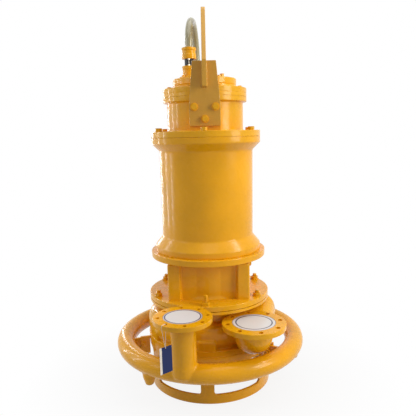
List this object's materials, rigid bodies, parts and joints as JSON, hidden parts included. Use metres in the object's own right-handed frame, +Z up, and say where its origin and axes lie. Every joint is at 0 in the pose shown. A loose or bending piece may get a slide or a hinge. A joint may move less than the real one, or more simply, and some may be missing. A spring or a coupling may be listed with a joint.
{
  "type": "submersible slurry pump",
  "caption": "Upright submersible slurry pump on a windowed base skirt, with a jet ring, flanged inlet and outlet, a lifting frame and a coiled power cable.",
  "frame": {"origin": "the middle of the pump's footprint on the floor, measured without its power cable", "axes": "+Z up along the shaft, +X to the right seen from the front, -Y towards the front, where the inlet and discharge flanges stand"},
  "size_m": [0.9302, 1.8205, 1.7419],
  "materials": {
    "yellow_enamel": "gloss enamel over cast iron and welded steel plate",
    "machined_steel": "ground and turned",
    "plated_steel": "zinc plated",
    "high_chrome_iron": "as cast, machined on its fits",
    "electrical_steel": "stacked laminations",
    "enamelled_copper": "enamelled winding wire",
    "black_rubber": "moulded, matt",
    "seal_ceramic": "lapped ceramic",
    "white_plastic": "plain film over the flange's mouth",
    "cable_sheath": "smooth olive grey sheath with a soft sheen",
    "gasket_fibre": "pressed fibre sheet"
  },
  "bodies": {
    "pump": {"back_plate": "high_chrome_iron", "base_skirt": "yellow_enamel", "bearing_frame": "yellow_enamel", "bracket_bolt_1": "plated_steel", "bracket_bolt_2": "plated_steel", "bracket_bolt_3": "plated_steel", "cable_coil": "cable_sheath", "cable_cover": "yellow_enamel", "cable_run": "cable_sheath", "cable_tail": "cable_sheath", "casing_gasket": "gasket_fibre", "casing_stud_1": "yellow_enamel", "casing_stud_2": "yellow_enamel", "casing_stud_3": "yellow_enamel", "casing_stud_4": "yellow_enamel", "casing_stud_5": "yellow_enamel", "casing_stud_6": "yellow_enamel", "discharge_cover_disc": "white_plastic", "gland_body": "yellow_enamel", "gland_follower": "yellow_enamel", "gland_grommet": "black_rubber", "inlet_cover_disc": "white_plastic", "lifting_bolt_1": "yellow_enamel", "lifting_bolt_2": "yellow_enamel", "lifting_bolt_3": "yellow_enamel", "lifting_bolt_4": "yellow_enamel", "lifting_bolt_5": "yellow_enamel", "lifting_bolt_6": "yellow_enamel", "lifting_frame": "yellow_enamel", "lower_bearing_balls": "machined_steel", "lower_bearing_outer_race": "machined_steel", "lower_end_shield": "yellow_enamel", "lower_seal_seat": "seal_ceramic", "motor_flange_bolt_1": "yellow_enamel", "motor_flange_bolt_2": "yellow_enamel", "motor_flange_bolt_3": "yellow_enamel", "motor_flange_bolt_4": "yellow_enamel", "motor_flange_bolt_5": "yellow_enamel", "motor_flange_bolt_6": "yellow_enamel", "motor_housing": "yellow_enamel", "oil_port_plug": "yellow_enamel", "ring_manifold": "yellow_enamel", "stator_core": "electrical_steel", "stator_windings": "enamelled_copper", "suction_plate": "yellow_enamel", "top_cover": "yellow_enamel", "top_plug": "yellow_enamel", "upper_bearing_balls": "machined_steel", "upper_bearing_outer_race": "machined_steel", "upper_housing": "yellow_enamel", "upper_seal_seat": "seal_ceramic", "volute_casing": "yellow_enamel"},
    "rotor": {"shaft": "machined_steel", "rotor_core": "electrical_steel", "impeller": "high_chrome_iron", "agitator": "high_chrome_iron", "agitator_nut": "plated_steel", "seal_rotary_unit": "machined_steel", "lower_bearing_inner_race": "machined_steel", "upper_bearing_inner_race": "machined_steel"}
  },
  "joints": [
    {"name": "rotor_spin", "type": "hinge", "parent": "pump", "child": "rotor", "pos_m": [0, 0.0327, 0.2], "axis": [0, 0, -1], "continuous": true}
  ]
}
